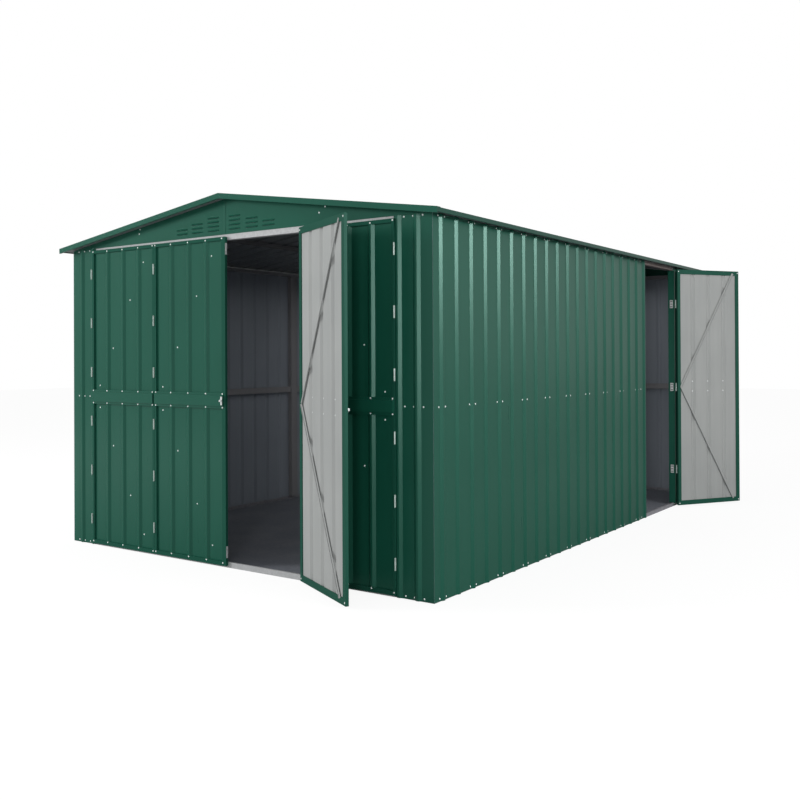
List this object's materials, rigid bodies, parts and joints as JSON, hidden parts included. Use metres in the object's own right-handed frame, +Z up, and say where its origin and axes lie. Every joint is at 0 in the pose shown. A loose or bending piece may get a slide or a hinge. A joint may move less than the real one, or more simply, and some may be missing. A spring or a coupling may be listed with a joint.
{
  "type": "sheet-metal garage",
  "caption": "Ribbed sheet-metal garage with a low gable roof, louvred front gable, folding front doors and a hinged side door.",
  "frame": {"origin": "centre of the rectangular footprint on the underside of the floor, at ground level", "axes": "+Z up, +Y to the rear wall (the folding front doors face -Y), +X to the wall with the side door"},
  "size_m": [3.4749, 4.9589, 2.2735],
  "materials": {
    "green_paint": "satin dark green baked paint on ribbed sheet",
    "inner_paint": "matt slate-grey primer on the inside of the wall sheets",
    "framing": "matt dark grey folded sections",
    "head_paint": "matt grey-brown folded head section",
    "liner_paint": "matt light grey primer on the inside of the doors",
    "galvanised": "bright galvanised steel",
    "base_rail": "dull galvanised base rails",
    "floor_board": "matt dark blue-grey fine-grained floor"
  },
  "bodies": {
    "shell": {"left_wall": "green_paint", "right_wall_front": "green_paint", "right_wall_rear": "green_paint", "rear_wall": "green_paint", "front_corner_panels": "green_paint", "gable_front": "green_paint", "gable_rear": "green_paint", "front_jambs": "green_paint", "side_door_jambs": "green_paint", "roof_left": "green_paint", "roof_right": "green_paint", "ridge_cap": "green_paint", "barge_trims": "green_paint", "eave_trims": "green_paint", "fold_frames": "green_paint", "fold_sheets": "green_paint", "fold_mid_rails": "green_paint", "left_wall_inner": "inner_paint", "right_wall_front_inner": "inner_paint", "right_wall_rear_inner": "inner_paint", "rear_wall_inner": "inner_paint", "wall_plates": "framing", "mid_girts": "framing", "mid_posts": "framing", "purlins": "framing", "ridge_beam": "framing", "side_door_head": "head_paint", "fold_liners": "liner_paint", "fold_braces": "liner_paint", "threshold_front": "galvanised", "front_head_rail": "galvanised", "fold_hinges": "galvanised", "fold_bolts": "galvanised", "side_hinge_plates": "galvanised", "base_rails_side": "base_rail", "base_rail_rear": "base_rail", "floor_deck": "floor_board"},
    "side_door": {"side_door_frame": "green_paint", "side_door_sheet": "green_paint", "side_door_liner": "liner_paint", "side_door_mid_rail": "green_paint", "side_door_brace": "liner_paint", "side_door_latch": "galvanised", "side_door_knuckles": "galvanised"}
  },
  "joints": [
    {"name": "side_door_hinge", "type": "hinge", "parent": "shell", "child": "side_door", "pos_m": [1.528, 1.465, 1], "axis": [0, 0, 1], "range_deg": [-146.5, 25]}
  ]
}
